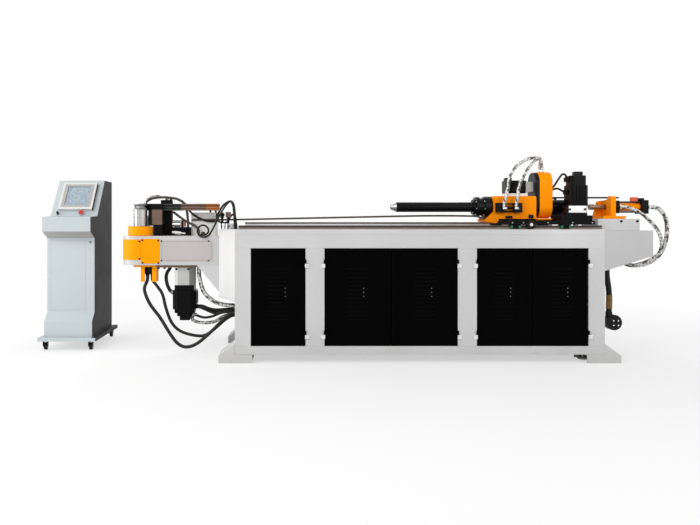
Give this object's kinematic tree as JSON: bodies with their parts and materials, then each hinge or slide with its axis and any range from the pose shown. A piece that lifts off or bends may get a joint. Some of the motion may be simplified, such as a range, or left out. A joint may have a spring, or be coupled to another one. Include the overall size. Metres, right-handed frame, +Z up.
{
  "type": "cnc pipe bending machine",
  "caption": "Tube bending machine with a swinging bending head, a rail-guided chuck carriage, a mandrel unit, a doored base cabinet and a rolling operator console.",
  "frame": {"origin": "centre of the four floor anchor holes, at floor level", "axes": "+X along the tube's axis from the bending head to the tail, +Y away from the side with the doors, +Z up"},
  "size_m": [5.373, 1.2443, 1.6491],
  "materials": {
    "grey_paint": "satin",
    "door_paint": "satin",
    "orange_paint": "gloss",
    "black_metal": "satin",
    "steel": "machined",
    "aluminium": "machined",
    "bronze": "ground",
    "rail_steel": "ground",
    "console_paint": "satin",
    "screen": "satin",
    "red_plastic": "gloss",
    "black_plastic": "matte",
    "wheel_rubber": "matte",
    "hose_rubber": "satin",
    "wrapped_hose": "satin"
  },
  "bodies": {
    "machine": {"cabinet": "grey_paint", "feet": "grey_paint", "hydraulic_unit": "grey_paint", "electric_panel": "grey_paint", "head_housing": "grey_paint", "head_guards": "orange_paint", "hose_bracket": "orange_paint", "bend_gearbox": "aluminium", "bend_motor": "black_metal", "drive_chain": "steel", "wiper_die": "bronze", "feed_rails": "rail_steel", "mandrel_bracket": "orange_paint", "mandrel_cylinder": "orange_paint", "head_hose_outer": "hose_rubber", "head_hose_inner": "hose_rubber", "head_hose_wrapped": "wrapped_hose", "bend_motor_cable": "hose_rubber", "tail_hose_front": "wrapped_hose", "tail_hose_rear": "wrapped_hose", "power_cable": "hose_rubber", "power_plug": "black_plastic"},
    "door_left": {"door_left": "door_paint"},
    "door_mid_left": {"door_mid_left": "door_paint"},
    "door_mid_right": {"door_mid_right": "door_paint"},
    "door_right_left": {"door_right_left": "door_paint"},
    "door_right_right": {"door_right_right": "door_paint"},
    "bend_arm": {"bend_spindle": "steel", "swing_arm": "orange_paint", "bend_die": "steel"},
    "clamp": {"clamp_die": "steel"},
    "drive_sprocket": {"drive_sprocket": "steel"},
    "pressure_slide": {"pressure_slide": "black_metal"},
    "pressure_die": {"pressure_die": "bronze"},
    "carriage": {"carriage_plate": "black_metal", "bearing_blocks": "black_metal", "chuck_housing": "orange_paint", "roll_motor": "black_metal", "belt_cover": "orange_paint", "feed_motor": "black_metal", "draw_cylinder": "black_metal", "chuck_cylinder": "black_metal", "chuck_hose_front": "wrapped_hose", "chuck_hose_rear": "wrapped_hose"},
    "chuck": {"chuck_spindle": "black_metal"},
    "collet": {"collet": "steel"},
    "motor_pulley": {"motor_pulley": "steel"},
    "feed_pinion": {"feed_pinion": "steel"},
    "measuring_wheel": {"measuring_wheel": "wheel_rubber"},
    "mandrel": {"mandrel_rod": "steel"},
    "console": {"console_shell": "console_paint", "console_screen": "screen"},
    "stop_button": {"stop_button": "red_plastic"},
    "selector": {"selector_knob": "black_plastic"},
    "caster_left": {"caster_fork_left": "black_metal"},
    "caster_right": {"caster_fork_right": "black_metal"},
    "wheel_front_left": {"wheel_front_left": "wheel_rubber"},
    "wheel_front_right": {"wheel_front_right": "wheel_rubber"},
    "wheel_rear_left": {"wheel_rear_left": "wheel_rubber"},
    "wheel_rear_right": {"wheel_rear_right": "wheel_rubber"}
  },
  "joints": [
    {"name": "door_left_hinge", "type": "hinge", "parent": "machine", "child": "door_left", "pos_m": [-0.88, -0.5563, 0.5085], "axis": [0, 0, 1], "range_deg": [0, 95]},
    {"name": "door_mid_left_hinge", "type": "hinge", "parent": "machine", "child": "door_mid_left", "pos_m": [-0.735, -0.5563, 0.5085], "axis": [0, 0, -1], "range_deg": [0, 95]},
    {"name": "door_mid_right_hinge", "type": "hinge", "parent": "machine", "child": "door_mid_right", "pos_m": [0.294, -0.5563, 0.5085], "axis": [0, 0, 1], "range_deg": [0, 95]},
    {"name": "door_right_left_hinge", "type": "hinge", "parent": "machine", "child": "door_right_left", "pos_m": [0.439, -0.5563, 0.5085], "axis": [0, 0, -1], "range_deg": [0, 95]},
    {"name": "door_right_right_hinge", "type": "hinge", "parent": "machine", "child": "door_right_right", "pos_m": [1.301, -0.5563, 0.5085], "axis": [0, 0, 1], "range_deg": [0, 95]},
    {"name": "bend_swing", "type": "hinge", "parent": "machine", "child": "bend_arm", "pos_m": [-2.26, -0.057, 1], "axis": [0, 0, 1], "range_deg": [0, 185]},
    {"name": "clamp_slide", "type": "slide", "parent": "bend_arm", "child": "clamp", "axis": [0, 1, 0], "range_m": [0, 0.035]},
    {"name": "drive_sprocket_turn", "type": "hinge", "parent": "machine", "child": "drive_sprocket", "pos_m": [-1.881, -0.057, 0.8], "axis": [0, 0, 1], "range_deg": [-1, 556]},
    {"name": "pressure_slide_close", "type": "slide", "parent": "machine", "child": "pressure_slide", "axis": [0, 1, 0], "range_m": [0, 0.05]},
    {"name": "pressure_die_boost", "type": "slide", "parent": "pressure_slide", "child": "pressure_die", "axis": [1, 0, 0], "range_m": [0, 0.12]},
    {"name": "carriage_feed", "type": "slide", "parent": "machine", "child": "carriage", "axis": [1, 0, 0], "range_m": [-1.32, 0]},
    {"name": "chuck_rotate", "type": "hinge", "parent": "carriage", "child": "chuck", "pos_m": [0.3, 0, 1.218], "axis": [1, 0, 0], "continuous": true},
    {"name": "collet_slide", "type": "slide", "parent": "chuck", "child": "collet", "axis": [1, 0, 0], "range_m": [-0.012, 0]},
    {"name": "motor_pulley_turn", "type": "hinge", "parent": "carriage", "child": "motor_pulley", "pos_m": [1.155, 0, 1.388], "axis": [1, 0, 0], "continuous": true},
    {"name": "feed_pinion_turn", "type": "hinge", "parent": "carriage", "child": "feed_pinion", "pos_m": [1.3706, -0.17, 1.1], "axis": [0, 0, 1], "continuous": true},
    {"name": "measuring_wheel_turn", "type": "hinge", "parent": "carriage", "child": "measuring_wheel", "pos_m": [0.952, -0.292, 1.0675], "axis": [0, 1, 0], "continuous": true},
    {"name": "mandrel_slide", "type": "slide", "parent": "machine", "child": "mandrel", "axis": [1, 0, 0], "range_m": [0, 0.08]},
    {"name": "console_roll", "type": "slide", "parent": "machine", "child": "console", "axis": [0, 1, 0], "range_m": [-0.25, 0.25]},
    {"name": "stop_press", "type": "slide", "parent": "console", "child": "stop_button", "axis": [0, 0.8088, -0.588], "range_m": [0, 0.005], "stiffness_N_per_m": 500, "springref_m": -0.002},
    {"name": "selector_turn", "type": "hinge", "parent": "console", "child": "selector", "pos_m": [-3.034, 0.14902, 1.16929], "axis": [0, -0.8088, 0.588], "range_deg": [-45, 45]},
    {"name": "caster_left_swivel", "type": "hinge", "parent": "console", "child": "caster_left", "pos_m": [-3.082, -0.018, 0.076], "axis": [0, 0, 1], "continuous": true},
    {"name": "caster_right_swivel", "type": "hinge", "parent": "console", "child": "caster_right", "pos_m": [-2.696, -0.018, 0.076], "axis": [0, 0, 1], "continuous": true},
    {"name": "wheel_front_left_spin", "type": "hinge", "parent": "caster_left", "child": "wheel_front_left", "pos_m": [-3.082, 0.004, 0.0304], "axis": [1, 0, 0], "continuous": true},
    {"name": "wheel_front_right_spin", "type": "hinge", "parent": "caster_right", "child": "wheel_front_right", "pos_m": [-2.696, 0.004, 0.0304], "axis": [1, 0, 0], "continuous": true},
    {"name": "wheel_rear_left_spin", "type": "hinge", "parent": "console", "child": "wheel_rear_left", "pos_m": [-3.082, 0.652, 0.0304], "axis": [1, 0, 0], "continuous": true},
    {"name": "wheel_rear_right_spin", "type": "hinge", "parent": "console", "child": "wheel_rear_right", "pos_m": [-2.696, 0.652, 0.0304], "axis": [1, 0, 0], "continuous": true}
  ],
  "couplings": [
    {"joint": "drive_sprocket_turn", "follows": "bend_swing", "ratio": 3},
    {"joint": "motor_pulley_turn", "follows": "chuck_rotate", "ratio": 1.6},
    {"joint": "feed_pinion_turn", "follows": "carriage_feed", "rad_per_m": 28.571},
    {"joint": "measuring_wheel_turn", "follows": "carriage_feed", "rad_per_m": 27.027},
    {"joint": "wheel_front_left_spin", "follows": "console_roll", "rad_per_m": -32.895},
    {"joint": "wheel_front_right_spin", "follows": "console_roll", "rad_per_m": -32.895},
    {"joint": "wheel_rear_left_spin", "follows": "console_roll", "rad_per_m": -32.895},
    {"joint": "wheel_rear_right_spin", "follows": "console_roll", "rad_per_m": -32.895}
  ]
}
